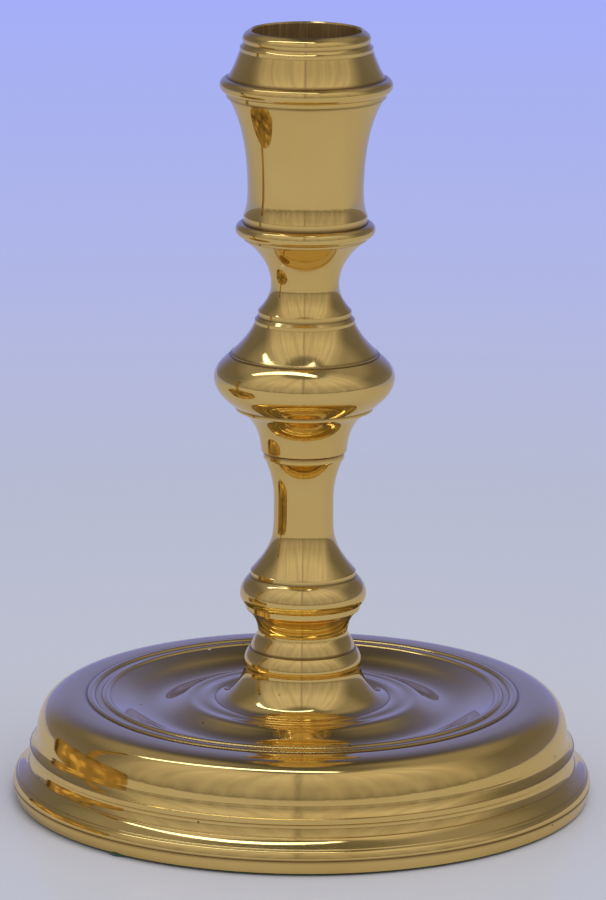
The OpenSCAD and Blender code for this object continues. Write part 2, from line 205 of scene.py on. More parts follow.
def turned(name, stations, level, materials, around, bore=None):
    """A solid of revolution. Its outline starts and ends on the axis, or closes on itself."""
    points, normals, depth = eased_profile(stations)
    on_axis = points[0, 0] < 1e-6
    if on_axis:
        rings = slice(1, -1)
    else:
        rings = slice(0, -1)
    r, z = points[rings].T
    angles = np.arange(around) * 2 * math.pi / around
    turn = np.stack([np.cos(angles), np.sin(angles)], axis=1)

    def revolve(radial, height):
        sideways = radial[:, None, None] * turn[None]
        upright = np.broadcast_to(height[:, None, None], (len(height), around, 1))
        return np.concatenate([sideways, upright], axis=2).reshape(-1, 3)

    verts = revolve(r, z + level) * MM
    directions = revolve(normals[rings, 0], normals[rings, 1])
    groove = np.repeat(depth[rings], around)
    count = len(r)
    last = count - 1 if on_axis else count
    faces = []
    bore_faces = set()
    for i in range(last):
        below = (i + 1) % count
        in_bore = bore is not None and max(r[i], r[below]) < bore[0] and min(z[i], z[below]) > bore[1]
        here, there = i * around, below * around
        for k in range(around):
            after = (k + 1) % around
            if in_bore:
                bore_faces.add(len(faces))
            faces.append((here + k, there + k, there + after, here + after))
    if on_axis:
        first_pole = len(verts)
        poles = np.array([[0, 0, points[0, 1] + level], [0, 0, points[-1, 1] + level]]) * MM
        verts = np.vstack([verts, poles])
        directions = np.vstack([directions, [[0, 0, 1], [0, 0, -1]]])
        groove = np.append(groove, [0, 0])
        low = (count - 1) * around
        for k in range(around):
            after = (k + 1) % around
            faces.append((first_pole, k, after))
            faces.append((first_pole + 1, low + after, low + k))

    mesh = bpy.data.meshes.new(name)
    mesh.from_pydata(verts.tolist(), [], faces)
    mesh.update()
    mesh.shade_smooth()
    for material in materials:
        mesh.materials.append(material)
    if bore_faces:
        slots = [1 if i in bore_faces else 0 for i in range(len(faces))]
        mesh.polygons.foreach_set("material_index", slots)
    mesh.normals_split_custom_set_from_vertices(directions.tolist())
    mesh.attributes.new("groove", "FLOAT", "POINT").data.foreach_set("value", groove.astype(np.float32))
    return shown(name, mesh)


# Holes and spigots that hold the stack together
ROD_HOLE_R = 3.25
ROD_THREAD_R = 3.05
SPIGOT_R = 5.0
SPIGOT_H = 2.0
RECESS_R = 5.1
RECESS_H = 2.3


def through_bored(outline, h, foot=None, seam_z=None):
    """Closes an outline round its rod hole, with a spigot on top and a recess or the given foot below.

    The outline starts and ends inside the hole, at seam_z or halfway up.
    """
    middle = h / 2 if seam_z is None else seam_z
    top = [(ROD_HOLE_R, middle), (ROD_HOLE_R, h + SPIGOT_H), (SPIGOT_R, h + SPIGOT_H), (SPIGOT_R, h)]
    foot = foot or [(RECESS_R, 0), (RECESS_R, RECESS_H), (ROD_HOLE_R, RECESS_H)]
    return top + outline + foot + [(ROD_HOLE_R, middle)]


# Candle socket
BORE_R = 11.2
SOCKET_H = 42.7
BORE_FLOOR_Z = SOCKET_H - 24
BORE_CONE = 1.6


def socket_outline():
    lip_r = BORE_R + 1.95
    lip_h = 2.5
    lip_foot_z = SOCKET_H - lip_h
    edge_r = BORE_R + 2.45
    edge_top_z = lip_foot_z - 0.9
    edge_low_z = edge_top_z - 0.8
    collar_bead_r = 1.5
    collar_z = SOCKET_H - 11.3
    collar_root_r = 17.75 - collar_bead_r
    collar_low_z = collar_z - collar_bead_r
    waist_start_z = collar_low_z - 0.9
    waist_r = 11.95
    waist_z = 9.1
    waist_mid_z = waist_z + (waist_start_z - waist_z) * 0.44
    foot_bead_r = 1.4
    foot_root_r = 14.4 - foot_bead_r
    foot_bead_z = foot_bead_r + 0.1
    neck_r = foot_root_r - 0.25
    neck_low_z = foot_bead_z + foot_bead_r
    neck_top_z = neck_low_z + 1.5
    return (
        [(BORE_R + 0.4, SOCKET_H, -28), (lip_r, SOCKET_H - 0.7 * lip_h, -90)]
        + [(lip_r - 0.2, lip_foot_z, -110), (lip_r - 0.2, lip_foot_z, -70), (edge_r, edge_top_z, -35)]
        + fillet(edge_r, edge_top_z, edge_low_z)
        + [(edge_r, edge_low_z, -68), (collar_root_r, collar_z + collar_bead_r, -54)]
        + bead(collar_root_r, collar_z, collar_bead_r)
        + fillet(collar_root_r + 0.2, collar_low_z, waist_start_z)
        + [(collar_root_r - 0.1, waist_start_z), (collar_root_r - 0.1, waist_start_z, -122)]
        + [(waist_r + 0.55, waist_mid_z, -98), (waist_r, waist_z, -90), (neck_r, neck_top_z, -66)]
        + fillet(neck_r, neck_top_z, neck_low_z)
        + bead(foot_root_r, foot_bead_z, foot_bead_r)
        + [(foot_root_r, 0)]
    )


def make_socket(brass, bore_brass):
    thread_top_z = 12.0
    bore = [(0, BORE_FLOOR_Z - BORE_CONE), (0.5, BORE_FLOOR_Z - BORE_CONE), (BORE_R, BORE_FLOOR_Z)]
    bore += [(BORE_R, SOCKET_H - 0.35), (BORE_R + 0.4, SOCKET_H)]
    foot = [(RECESS_R, 0), (RECESS_R, RECESS_H), (ROD_THREAD_R, RECESS_H)]
    foot += [(ROD_THREAD_R, thread_top_z), (0, thread_top_z)]
    stations = bore + socket_outline() + foot
    bored = (BORE_R + 0.2, BORE_FLOOR_Z - BORE_CONE - 1)
    return turned_piece("candle_socket", stations, [brass, bore_brass], AROUND_STEM, bored)


# Neck and knop
def knop_outline(h):
    neck_top_r = 12.8
    neck_r = 7.0
    neck_z = 26.2
    fillet_r = 9.65
    step_r = 10.35
    step_z = 18.9
    knop_step_r = 15.3
    knop_step_z = 11.8
    knop_r = 18.7
    knop_z = 6.7
    foot_r = 14.3
    foot_h = 0.8
    return (
        fillet(neck_top_r, h, h - 0.5)
        + [(neck_top_r - 0.1, h - 0.5), (neck_top_r - 0.1, h - 0.5, -143)]
        + [(neck_r, neck_z, -90), (fillet_r - 0.1, step_z + 1.9, -47)]
        + fillet(fillet_r, step_z + 1.8, step_z + 0.7)
        + fillet(step_r, step_z, step_z - 0.7)
        + [(step_r, step_z - 0.7, -68), (knop_step_r - 0.1, knop_step_z, -43)]
        + fillet(knop_step_r, knop_step_z, knop_step_z - 0.4)
        + [(knop_step_r + 0.3, knop_step_z - 0.45), (knop_step_r + 0.3, knop_step_z - 0.45, -38)]
        + [(knop_r, knop_z, -90), (foot_r + 0.35, foot_h, -143)]
        + fillet(foot_r, foot_h, 0)
    )


def make_knop(brass):
    h = 36.2
    return turned_piece("neck_and_knop", through_bored(knop_outline(h), h), [brass], AROUND_STEM)


# Column
def column_outline(h):
    top_r = 13.8
    astragal_r = 8.9
    astragal_z = h - 8.3
    astragal_low_r = 8.4
    column_r = 6.2
    fillet_r = 10.95
    fillet_z = 6.9
    bulb_r = 13.15
    bulb_z = 1.9
    return (
        [(top_r, h), (top_r, h, -152), (astragal_r + 0.8, h - 4.7, -111), (astragal_r, astragal_z, -98)]
        + fillet(astragal_r, astragal_z, astragal_z - 0.5)
        + fillet(astragal_low_r, astragal_z - 0.8, astragal_z - 2)
        + [(astragal_low_r - 0.2, astragal_z - 2.2), (astragal_low_r - 0.2, astragal_z - 2.2, -116)]
        + [(column_r, fillet_z + 15.4, -90), (column_r + 0.12, fillet_z + 8.6, -86)]
        + [(fillet_r - 0.1, fillet_z + 0.1, -48)]
        + fillet(fillet_r, fillet_z, fillet_z - 1)
        + [(fillet_r + 0.5, fillet_z - 1.4), (fillet_r + 0.5, fillet_z - 1.4, -42)]
        + [(bulb_r, bulb_z, -90), (bulb_r - 0.8, 0, -126)]
    )


def make_column(brass):
    h = 41.3
    return turned_piece("column", through_bored(column_outline(h), h), [brass], AROUND_STEM)


# Spool
def spool_outline(h):
    top_r = 11.9
    fillet_h = 1.2
    waist_r = 9.4
    waist_z = 7.5
    step_r = 10.9
    step_z = 3.9
    ring_r = 12.3
    return (
        fillet(top_r, h, h - fillet_h)
        + [(top_r - 0.5, h - fillet_h - 0.4, -140), (waist_r, waist_z, -90)]
        + [(waist_r + 0.65, waist_z - 1.3, -62), (step_r, step_z + 0.1, -76)]
        + [(step_r + 0.3, step_z), (step_r + 0.3, step_z, -52)]
        + [(ring_r, 1, -90), (ring_r - 0.12, 0, -98)]
    )


def make_spool(brass):
    h = 13.7
    return turned_piece("spool", through_bored(spool_outline(h), h), [brass], AROUND_STEM)


# Base, from the seat of the stem to its lower edge
BASE_H = 26.9
DISH_R = 31.0
DISH_Z = 17.8
SHOULDER_Z = 20.7
WALL_R = 55.7
WALL_FILLET_R = 57.0
WALL_FILLET_Z = 9.3
FLANGE_R = 60.5
FLANGE_FOOT_R = 59.9


def ridge(middle_r, foot_z):
    half_w = 0.85
    rise = 0.42
    lean = 2 * math.degrees(math.atan(rise / half_w))
    return [
        (middle_r - half_w, foot_z, lean),
        (middle_r, foot_z + rise, 0),
        (middle_r + half_w, foot_z, -lean),
    ]


def seat_and_dish_outline():
    seat_r = 12.15
    ripple_r = 18.3
    ripple_z = 19.9
    inner_r = 41.1
    outer_r = 44.2
    foot_z = SHOULDER_Z + 0.02
    return (
        [(seat_r, BASE_H), (seat_r, BASE_H, -87), (ripple_r - 3, ripple_z + 1.4, -43)]
        + [(ripple_r, ripple_z, -12), (ripple_r, ripple_z, 28), (ripple_r + 1.5, ripple_z + 0.35, 0)]
        + [(ripple_r + 3.6, ripple_z + 0.02, 0), (ripple_r + 5.2, ripple_z + 0.2, 0)]
        + [(DISH_R - 5.3, (ripple_z + DISH_Z) / 2 + 0.5, -24), (DISH_R, DISH_Z, 0)]
        + [(DISH_R + 5.4, DISH_Z + 1.45, 25), (inner_r - 0.85, foot_z, 18)]
        + ridge(inner_r, foot_z)
        + [(inner_r + 0.85, foot_z, -10), (outer_r - 0.85, foot_z, 10)]
        + ridge(outer_r, foot_z)
        + [(outer_r + 0.85, foot_z, 4)]
    )


def wall_and_flange_outline():
    step_z = 6.6
    line_z = 2.7
    return (
        [(WALL_R - 8.6, SHOULDER_Z + 0.08, -1), (WALL_R - 5.3, SHOULDER_Z - 0.2, -13)]
        + [(WALL_R - 2.75, SHOULDER_Z - 1.45, -39), (WALL_R - 1, SHOULDER_Z - 3.9, -66)]
        + [(WALL_R - 0.1, WALL_FILLET_Z + 3.6, -84), (WALL_R + 0.05, WALL_FILLET_Z + 2.9, -80)]
        + [(WALL_FILLET_R - 0.25, WALL_FILLET_Z + 1.15, -52)]
        + fillet(WALL_FILLET_R, WALL_FILLET_Z + 1.05, WALL_FILLET_Z)
        + [(WALL_FILLET_R - 0.5, WALL_FILLET_Z - 0.15), (WALL_FILLET_R - 0.6, WALL_FILLET_Z - 0.25, -95)]
        + [(WALL_FILLET_R + 0.1, step_z + 0.05, -60)]
        + [(WALL_FILLET_R + 0.3, step_z - 0.05), (WALL_FILLET_R + 0.3, step_z - 0.05, -50)]
        + [(FLANGE_R - 1.1, line_z + 2.15, -36)]
        + [(FLANGE_R - 0.95, line_z + 1.95), (FLANGE_R - 0.95, line_z + 1.95, -22)]
        + [(FLANGE_R - 0.05, line_z + 0.1, -86), (FLANGE_R - 0.15, line_z)]
        + [(FLANGE_R - 0.05, line_z - 0.1), (FLANGE_R - 0.05, line_z - 0.1, -89)]
        + [(FLANGE_FOOT_R, 0, -104)]
    )


def hollow_outline():
    shell = 3.2
    rebate_r = 56.7
    card_t = 1.0
    boss_r = 11.5
    boss_z = 13.5
    hollow_r = WALL_R - shell
    ceiling_z = DISH_Z - shell
    high_z = SHOULDER_Z - shell - 0.2
    return [
        (rebate_r, 0),
        (rebate_r, card_t),
        (hollow_r, card_t),
        (hollow_r, high_z - 3),
        (hollow_r - 4, high_z),
        (DISH_R + 8, high_z),
        (DISH_R + 3, ceiling_z),
        (boss_r + 1, ceiling_z),
        (boss_r, boss_z),
        (ROD_HOLE_R, boss_z),
    ]


def make_base(brass):
    outline = seat_and_dish_outline() + wall_and_flange_outline()
    above_boss_z = 20.0
    stations = through_bored(outline, BASE_H, hollow_outline(), above_boss_z)
    return turned_piece("base_casting", stations, [brass], AROUND_BASE)


def turned_piece(node, stations, materials, around, bore=None):
    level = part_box(node)[0].z / MM
    piece = turned("turned_" + node, stations, level, materials, around, bore)
    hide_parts(node)
    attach(piece, "root")
    return piece


# Felt, a disc of cloth with one loose tab that peeps out at the front left
def make_felt(felt):
    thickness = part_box("felt_pad")[1].z / MM
    disc_r = FLANGE_FOOT_R - 0.6
    tab_round_r = 3.5
    tab_centre_r = FLANGE_FOOT_R + 0.5 - tab_round_r
    tab_angle = math.radians(231)
    fray = 0.06
    around = 720
    draw = random.Random(11)

    def edge_r(angle):
        off = math.remainder(angle - tab_angle, 2 * math.pi)
        across = tab_centre_r * math.sin(off)
        if abs(off) > math.pi / 2 or abs(across) >= tab_round_r:
            return disc_r
        reach = tab_centre_r * math.cos(off) + math.sqrt(tab_round_r**2 - across**2)
        return max(disc_r, reach)

    rings = [(0.5, 0.0), (0.97, 0.0), (0.998, 0.12), (1.0, 0.5), (0.998, 0.88), (0.97, 1.0), (0.5, 1.0)]
    verts = []
    for share, height in rings:
        for k in range(around):
            angle = 2 * math.pi * k / around
            r = edge_r(angle) * share
            if share > 0.99:
                r -= fray * draw.random()
            verts.append((r * math.cos(angle) * MM, r * math.sin(angle) * MM, height * thickness * MM))
    faces = []
    for i in range(len(rings) - 1):
        here, there = i * around, (i + 1) * around
        for k in range(around):
            after = (k + 1) % around
            faces.append((here + k, here + after, there + after, there + k))
    low = len(verts)
    verts += [(0, 0, 0), (0, 0, thickness * MM)]
    top = (len(rings) - 1) * around
    for k in range(around):
        after = (k + 1) % around
        faces.append((low, after, k))
        faces.append((low + 1, top + k, top + after))
    mesh = bpy.data.meshes.new("felt_disc")
    mesh.from_pydata(verts, [], faces)
    mesh.materials.append(felt)
    mesh.shade_smooth()
    piece = shown("felt_disc", mesh)
    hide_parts("felt_pad")
    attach(piece, "root")
    return piece


# Small helpers for shader nodes
def add(tree, kind, wired=None, **settings):
    """Adds a shader node. wired maps its inputs to numbers, colours or other nodes' outputs."""
    made = tree.nodes.new("ShaderNode" + kind)
    for name, value in settings.items():
        setattr(made, name, value)
    for name, value in (wired or {}).items():
        if isinstance(value, bpy.types.NodeSocket):
            tree.links.new(value, made.inputs[name])
        else:
            made.inputs[name].default_value = value
    return made


def calc(tree, operation, a, b=0.0, c=0.0):
    return add(tree, "Math", {0: a, 1: b, 2: c}, operation=operation).outputs[0]


def from_axis(tree, x, y):
    """Distance from the upright axis."""
    squares = calc(tree, "ADD", calc(tree, "POWER", x, 2.0), calc(tree, "POWER", y, 2.0))
    return calc(tree, "SQRT", squares)


def relief(tree, height, depth, over=None, invert=False):
    """A bump as deep as depth in millimetres, laid over another one if given."""
    wired = {"Strength": 1.0, "Distance": depth * MM, "Height": height}
    if over is not None:
        wired["Normal"] = over
    return add(tree, "Bump", wired, invert=invert).outputs[0]


def eased_step(tree, value, low, high, to_low=0.0, to_high=1.0):
    wired = {"Value": value, "From Min": low, "From Max": high, "To Min": to_low, "To Max": to_high}
    return add(tree, "MapRange", wired, interpolation_type="SMOOTHSTEP").outputs[0]


def blend(tree, share, first, second):
    """A colour between two colours."""
    return add(tree, "Mix", {0: share, 6: first, 7: second}, data_type="RGBA").outputs[2]


def ramp(tree, value, stops):
    """A colour that follows a value through (place, colour) stops."""
    made = add(tree, "ValToRGB", {"Fac": value})
    scale = made.color_ramp.elements
    scale[0].position, scale[1].position = stops[0][0], stops[-1][0]
    scale[0].color, scale[1].color = (*stops[0][1], 1), (*stops[-1][1], 1)
    for place, colour in stops[1:-1]:
        scale.new(place).color = (*colour, 1)
    return made.outputs[0]


def effect(name, inputs, outputs):
    """An empty node group with named numbers going in and coming out."""
    tree = bpy.data.node_groups.new(name, "ShaderNodeTree")
    for label, value in inputs.items():
        tree.interface.new_socket(label, in_out="INPUT", socket_type="NodeSocketFloat").default_value = value
    for label in outputs:
        tree.interface.new_socket(label, in_out="OUTPUT", socket_type="NodeSocketFloat")
    return tree, tree.nodes.new("NodeGroupInput"), tree.nodes.new("NodeGroupOutput")


def use(tree, group, **inputs):
    made = tree.nodes.new("ShaderNodeGroup")
    made.node_tree = group
    for label, value in inputs.items():
        socket = made.inputs[label.replace("_", " ")]
        if isinstance(value, bpy.types.NodeSocket):
            tree.links.new(value, socket)
        else:
            socket.default_value = value
    return made


def new_material(name):
    material = bpy.data.materials.new(name)
    material.use_nodes = True
    tree = material.node_tree
    return material, tree, tree.nodes["Principled BSDF"]


# Effects that more than one finish uses
def lathe_lines():
    """Fine rings that the turning tool and the buff leave, by radius and height."""
    tree, given, out = effect("lathe_lines", {"Lines per mm": 3.0}, ["Height"])
    place = add(tree, "TexCoord").outputs["Object"]
    x, y, z = add(tree, "SeparateXYZ", {0: place}).outputs
    radius = from_axis(tree, x, y)
    per_metre = calc(tree, "MULTIPLY", given.outputs[0], 1 / MM)
    flat = add(tree, "CombineXYZ", {"X": radius, "Z": z}).outputs[0]
    noise = add(tree, "TexNoise", {"Vector": flat, "Scale": per_metre, "Detail": 3.0, "Roughness": 0.7})
    tree.links.new(noise.outputs[0], out.inputs[0])
    return tree


def fine_scratches():
    """Short hairline scratches in every direction."""
    tree, given, out = effect("fine_scratches", {"Scratches per mm": 0.35, "Amount": 0.5}, ["Mask"])
    place = add(tree, "TexCoord").outputs["Object"]
    scale = calc(tree, "MULTIPLY", given.outputs[0], 1 / MM)
    marks = None
    for turn in (0.3, 1.2, 2.1, 2.8):
        laid = add(tree, "VectorRotate", {"Vector": place, "Angle": turn}, rotation_type="Z_AXIS").outputs[0]
        drawn = add(tree, "VectorMath", {0: laid, 1: (1.0, 14.0, 9.0)}, operation="MULTIPLY").outputs[0]
        noise = add(tree, "TexNoise", {"Vector": drawn, "Scale": scale, "Detail": 1.5}).outputs[0]
        line = eased_step(tree, noise, 0.68, 0.76)
        marks = line if marks is None else calc(tree, "MAXIMUM", marks, line)
    tree.links.new(calc(tree, "MULTIPLY", marks, given.outputs[1]), out.inputs[0])
    return tree


def soft_patches():
    """Broad uneven patches, from 0 to 1."""
    tree, given, out = effect("soft_patches", {"Size mm": 10.0, "Contrast": 0.5}, ["Mask"])
    place = add(tree, "TexCoord").outputs["Object"]
    scale = calc(tree, "DIVIDE", 1 / MM, given.outputs[0])
    cloudy = {"Vector": place, "Scale": scale, "Detail": 4.0, "Roughness": 0.6}
    noise = add(tree, "TexNoise", cloudy).outputs[0]
    low = calc(tree, "MULTIPLY", given.outputs[1], 0.5)
    high = calc(tree, "SUBTRACT", 1.0, low)
    tree.links.new(eased_step(tree, noise, low, high), out.inputs[0])
    return tree


def specks():
    """Small round pits and stains, one in a few cells of a loose mesh."""
    tree, given, out = effect("specks", {"Spacing mm": 6.0, "Size": 0.06, "Share": 0.4}, ["Mask"])
    place = add(tree, "TexCoord").outputs["Object"]
    scale = calc(tree, "DIVIDE", 1 / MM, given.outputs[0])
    cells = add(tree, "TexVoronoi", {"Vector": place, "Scale": scale, "Randomness": 1.0})
    near = calc(tree, "SUBTRACT", 1.0, eased_step(tree, cells.outputs["Distance"], 0.0, given.outputs[1]))
    lot = add(tree, "SeparateColor", {0: cells.outputs["Color"]}).outputs[0]
    picked = calc(tree, "LESS_THAN", lot, given.outputs[2])
    tree.links.new(calc(tree, "MULTIPLY", near, picked), out.inputs[0])
    return tree


# Finishes
POLISHED = (0.86, 0.64, 0.25, 1)
DEEP_BRASS = (0.81, 0.575, 0.20, 1)
TARNISH = (0.16, 0.085, 0.03, 1)
POLISH_RESIDUE = (0.62, 0.58, 0.5, 1)


def polished_brass(effects):
    """Hand-polished brass, with tool rings, hairlines, dark grooves and a trace of dried polish."""
    mirror_rough = 0.035
    haze_rough = 0.05
    hairline_rough = 0.10
    groove_rough = 0.30
    wave_depth = 0.012
    ring_depth = 0.0022
    hairline_depth = 0.001
    material, tree, surface = new_material("polished_brass")
    lines = use(tree, effects["lathe_lines"], Lines_per_mm=2.4).outputs[0]
    hairlines = use(tree, effects["fine_scratches"], Scratches_per_mm=0.3, Amount=0.6).outputs[0]
    haze = use(tree, effects["soft_patches"], Size_mm=9.0, Contrast=0.5).outputs[0]
    warmth = use(tree, effects["soft_patches"], Size_mm=31.0, Contrast=0.4).outputs[0]
    pits = use(tree, effects["specks"], Spacing_mm=7.0, Size=0.07, Share=0.5).outputs[0]
    crumbs = use(tree, effects["specks"], Spacing_mm=5.0, Size=0.2, Share=0.07).outputs[0]
    groove = add(tree, "Attribute", attribute_name="groove").outputs["Fac"]

    dark = calc(tree, "MULTIPLY", eased_step(tree, groove, 0.25, 0.9), 0.85)
    dried = calc(tree, "MULTIPLY", eased_step(tree, groove, 0.3, 0.6), eased_step(tree, crumbs, 0.2, 0.6))
    colour = blend(tree, warmth, POLISHED, DEEP_BRASS)
    colour = blend(tree, calc(tree, "MAXIMUM", dark, pits), colour, TARNISH)
    colour = blend(tree, dried, colour, POLISH_RESIDUE)
    tree.links.new(colour, surface.inputs["Base Color"])
    tree.links.new(eased_step(tree, dried, 0.0, 1.0, 1.0, 0.15), surface.inputs["Metallic"])

    rough = calc(tree, "MULTIPLY_ADD", haze, haze_rough, mirror_rough)
    rough = calc(tree, "MULTIPLY_ADD", hairlines, hairline_rough, rough)
    rough = calc(tree, "MULTIPLY_ADD", calc(tree, "MAXIMUM", dark, dried), groove_rough, rough)
    tree.links.new(rough, surface.inputs["Roughness"])

    ripple = use(tree, effects["soft_patches"], Size_mm=14.0, Contrast=0.1).outputs[0]
    waves = relief(tree, ripple, wave_depth)
    rings = relief(tree, lines, ring_depth, waves)
    cuts = relief(tree, hairlines, hairline_depth, rings, invert=True)
    tree.links.new(cuts, surface.inputs["Normal"])
    return material


def dull_bore_brass(effects):
    """The candle bore: unpolished brass, browned, with upright scratches from candles."""
    material, tree, surface = new_material("dull_bore_brass")
    patches = use(tree, effects["soft_patches"], Size_mm=4.0, Contrast=0.5).outputs[0]
    place = add(tree, "TexCoord").outputs["Object"]
    drawn = add(tree, "VectorMath", {0: place, 1: (1.0, 1.0, 0.04)}, operation="MULTIPLY").outputs[0]
    scored = add(tree, "TexNoise", {"Vector": drawn, "Scale": 1400.0, "Detail": 4.0}).outputs[0]
    bright = eased_step(tree, scored, 0.5, 0.72)
    colour = blend(tree, patches, (0.30, 0.19, 0.08, 1), (0.42, 0.28, 0.12, 1))
    colour = blend(tree, bright, colour, (0.62, 0.44, 0.2, 1))
    tree.links.new(colour, surface.inputs["Base Color"])
    tree.links.new(eased_step(tree, bright, 0.0, 1.0, 0.55, 0.32), surface.inputs["Roughness"])
    surface.inputs["Metallic"].default_value = 0.85
    tree.links.new(relief(tree, scored, 0.02), surface.inputs["Normal"])
    return material


def zinc_steel(effects):
    """Bright zinc on steel, slightly clouded."""
    material, tree, surface = new_material("zinc_steel")
    cloud = use(tree, effects["soft_patches"], Size_mm=2.5, Contrast=0.4).outputs[0]
    lines = use(tree, effects["lathe_lines"], Lines_per_mm=1.5).outputs[0]
    colour = blend(tree, cloud, (0.60, 0.60, 0.62, 1), (0.48, 0.48, 0.46, 1))
    tree.links.new(colour, surface.inputs["Base Color"])
    tree.links.new(eased_step(tree, cloud, 0.0, 1.0, 0.22, 0.42), surface.inputs["Roughness"])
    surface.inputs["Metallic"].default_value = 1.0
    tree.links.new(relief(tree, lines, 0.01), surface.inputs["Normal"])
    return material


def grey_board(effects):
    """Grey-brown card with short fibres."""
    material, tree, surface = new_material("grey_board")
    fibres = use(tree, effects["fine_scratches"], Scratches_per_mm=1.2, Amount=1.0).outputs[0]
    cloud = use(tree, effects["soft_patches"], Size_mm=3.0, Contrast=0.3).outputs[0]
    colour = blend(tree, cloud, (0.20, 0.13, 0.065, 1), (0.15, 0.10, 0.055, 1))
    colour = blend(tree, fibres, colour, (0.30, 0.22, 0.13, 1))
    tree.links.new(colour, surface.inputs["Base Color"])
    surface.inputs["Roughness"].default_value = 0.9
    tree.links.new(relief(tree, fibres, 0.04), surface.inputs["Normal"])
    return material


def green_felt(effects):
    """Dark green wool felt with a matted nap."""
    material, tree, surface = new_material("green_felt")
    nap = use(tree, effects["soft_patches"], Size_mm=0.5, Contrast=0.3).outputs[0]
    fibres = use(tree, effects["fine_scratches"], Scratches_per_mm=2.5, Amount=1.0).outputs[0]
    colour = blend(tree, nap, (0.010, 0.045, 0.022, 1), (0.03, 0.10, 0.055, 1))
    colour = blend(tree, fibres, colour, (0.07, 0.16, 0.10, 1))
    tree.links.new(colour, surface.inputs["Base Color"])
    surface.inputs["Roughness"].default_value = 0.95
    surface.inputs["Sheen Weight"].default_value = 0.35
    tree.links.new(relief(tree, nap, 0.1), surface.inputs["Normal"])
    return material


# Studio: a pale floor that turns lavender with distance, and what the polished brass reflects
def lay_floor():
    half = 3.0
    below = -0.00002
    mesh = bpy.data.meshes.new("floor")
    corners = [(-half, -half, below), (half, -half, below), (half, half, below), (-half, half, below)]
    mesh.from_pydata(corners, [], [(0, 1, 2, 3)])
    floor = shown("floor", mesh)

    material = bpy.data.materials.new("pale_floor")
    material.use_nodes = True
    tree = material.node_tree
    tree.nodes.clear()
    place = add(tree, "NewGeometry").outputs["Position"]
    x, y, _ = add(tree, "SeparateXYZ", {0: place}).outputs
    far = 1.2
    seen = ramp(
        tree,
        calc(tree, "DIVIDE", from_axis(tree, x, y), far),
        [
            (0.0, (0.57, 0.57, 0.62)),
            (0.06, (0.555, 0.56, 0.615)),
            (0.13, (0.515, 0.54, 0.62)),
            (0.23, (0.49, 0.515, 0.635)),
            (0.5, (0.435, 0.475, 0.80)),
            (0.92, (0.377, 0.432, 0.923)),
            (1.0, (0.37, 0.425, 0.94)),
        ],
    )
    mirrored = ramp(
        tree,
        eased_step(tree, y, -0.3, far),
        [
            (0.0, (0.52, 0.50, 0.49)),
            (0.25, (0.47, 0.46, 0.50)),
            (0.5, (0.39, 0.40, 0.60)),
            (1.0, (0.35, 0.40, 0.80)),
        ],
    )
    glossy_ray = add(tree, "LightPath").outputs["Is Glossy Ray"]
    matt = add(tree, "BsdfDiffuse", {"Color": blend(tree, glossy_ray, seen, mirrored)}).outputs[0]
    shine = add(tree, "BsdfGlossy", {"Color": (1, 1, 1, 1), "Roughness": 0.12}).outputs[0]
    shine_share = 0.07
    both = add(tree, "MixShader", {0: shine_share, 1: matt, 2: shine}).outputs[0]
    out = add(tree, "OutputMaterial", {"Surface": both})
    out.is_active_output = True
    mesh.materials.append(material)


def bearings(tree):
    """Direction of a ray in the world: azimuth from the front, elevation, and its x, front and z shares."""
    way = add(tree, "TexCoord").outputs["Generated"]
    x, y, z = add(tree, "SeparateXYZ", {0: way}).outputs
    to_degrees = 180 / math.pi
    toward = calc(tree, "MULTIPLY", y, -1.0)
    azimuth = calc(tree, "MULTIPLY", calc(tree, "ARCTAN2", x, toward), to_degrees)
    elevation = calc(tree, "MULTIPLY", calc(tree, "ARCSINE", z), to_degrees)
    return azimuth, elevation, x, toward, z


def by_elevation(tree, elevation, stops):
    """A colour that follows stops given as (degrees above the horizon, colour)."""
    lowest, highest = -10, 90
    share = calc(tree, "DIVIDE", calc(tree, "SUBTRACT", elevation, lowest), highest - lowest)
    placed = [((degrees - lowest) / (highest - lowest), colour) for degrees, colour in stops]
    return ramp(tree, share, placed)


def warm_grey(level):
    return (level, level * 0.94, level * 0.90)


